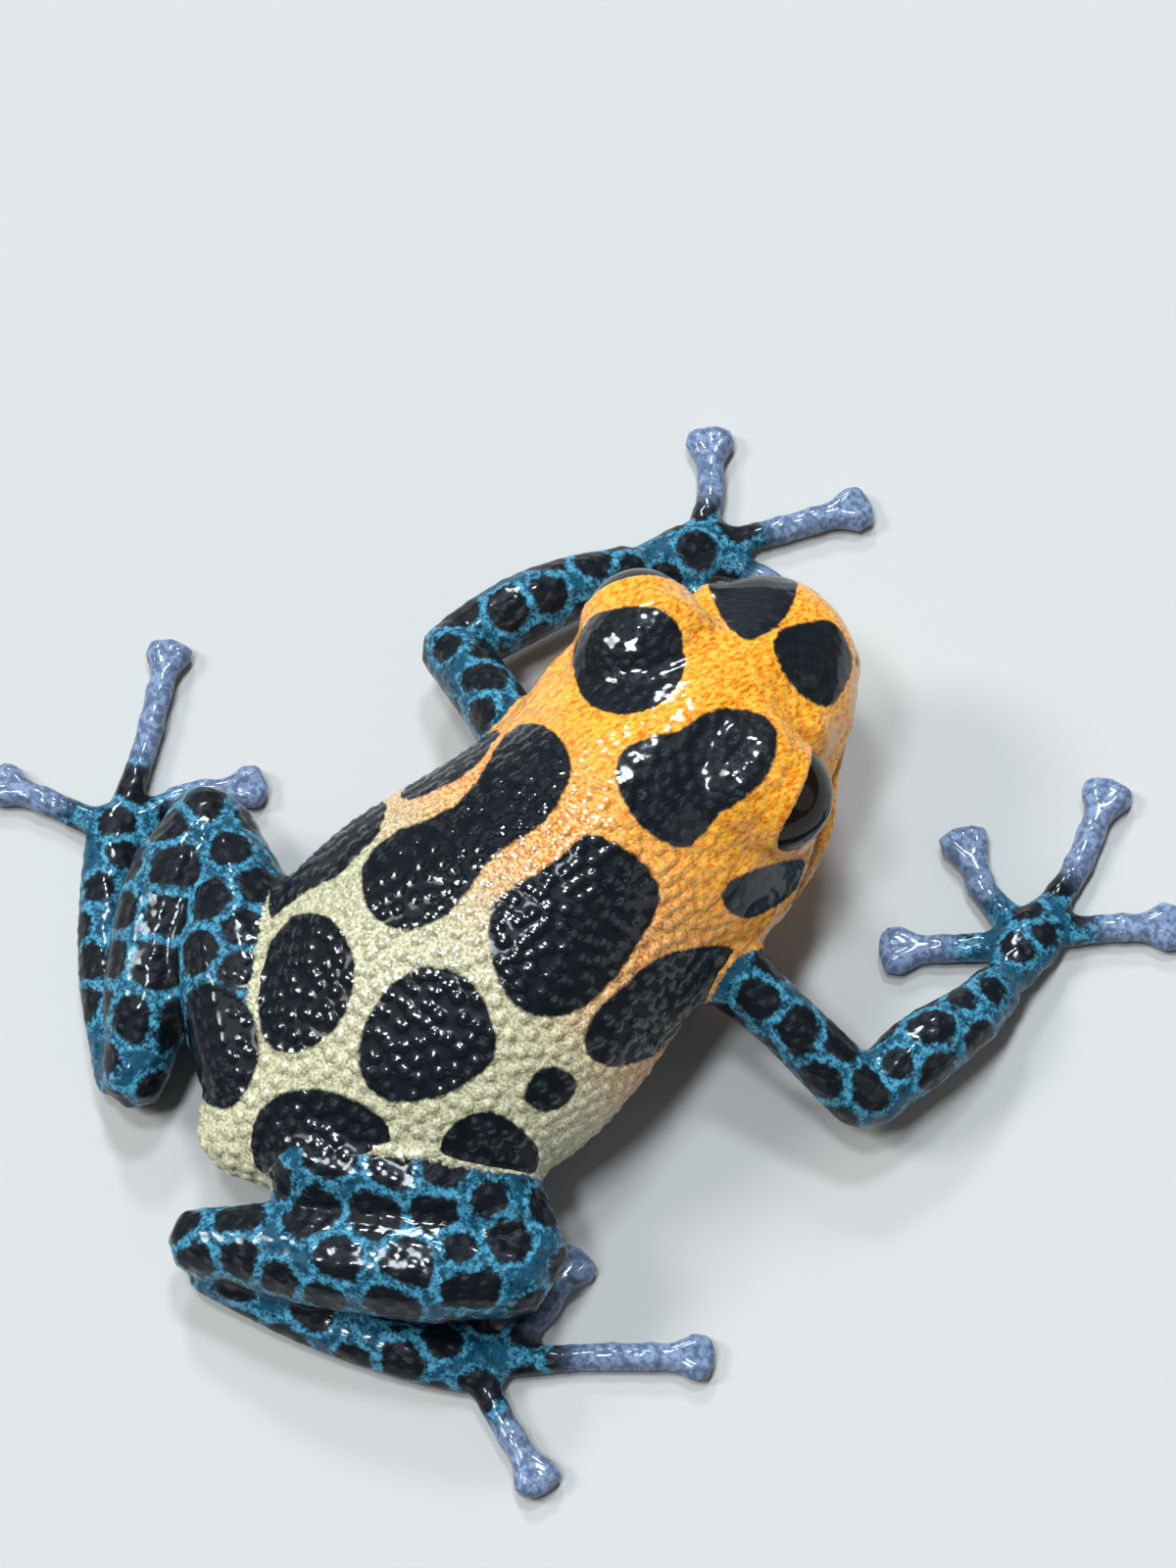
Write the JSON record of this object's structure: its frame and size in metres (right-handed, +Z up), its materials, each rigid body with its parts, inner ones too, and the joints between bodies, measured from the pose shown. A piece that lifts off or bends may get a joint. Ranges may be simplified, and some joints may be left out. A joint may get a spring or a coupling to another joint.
{
  "type": "mimic poison frog",
  "caption": "Small poison frog sitting still with its belly down, arms forward and hind legs folded, orange head and dark blotched back.",
  "frame": {"origin": "middle of the belly where it rests on the floor", "axes": "+Z up from the floor, -Y the way the frog faces, +X its left side"},
  "size_m": [0.0211, 0.0239, 0.0068],
  "materials": {
    "head_skin": "wet, finely grained, orange with near-black spots",
    "back_skin": "wet, granular, blue-black blotches parted by pale yellow stripes",
    "limb_skin": "wet, turquoise net over black spots",
    "digit_skin": "smooth, satin, grey-lilac",
    "eye": "polished, near-black"
  },
  "bodies": {
    "root": {"head": "head_skin", "trunk": "back_skin", "eye_left": "eye", "eye_right": "eye", "upper_arm_left": "limb_skin", "forearm_left": "limb_skin", "hand_left": "limb_skin", "thigh_left": "limb_skin", "shank_left": "limb_skin", "foot_left": "limb_skin", "finger_left_1": "digit_skin", "finger_left_2": "digit_skin", "finger_left_3": "digit_skin", "finger_left_4": "digit_skin", "toe_left_1": "digit_skin", "toe_left_2": "digit_skin", "toe_left_3": "digit_skin", "toe_left_4": "digit_skin", "toe_left_5": "digit_skin", "upper_arm_right": "limb_skin", "forearm_right": "limb_skin", "hand_right": "limb_skin", "thigh_right": "limb_skin", "shank_right": "limb_skin", "foot_right": "limb_skin", "finger_right_1": "digit_skin", "finger_right_2": "digit_skin", "finger_right_3": "digit_skin", "finger_right_4": "digit_skin", "toe_right_1": "digit_skin", "toe_right_2": "digit_skin", "toe_right_3": "digit_skin", "toe_right_4": "digit_skin", "toe_right_5": "digit_skin"}
  },
  "joints": []
}
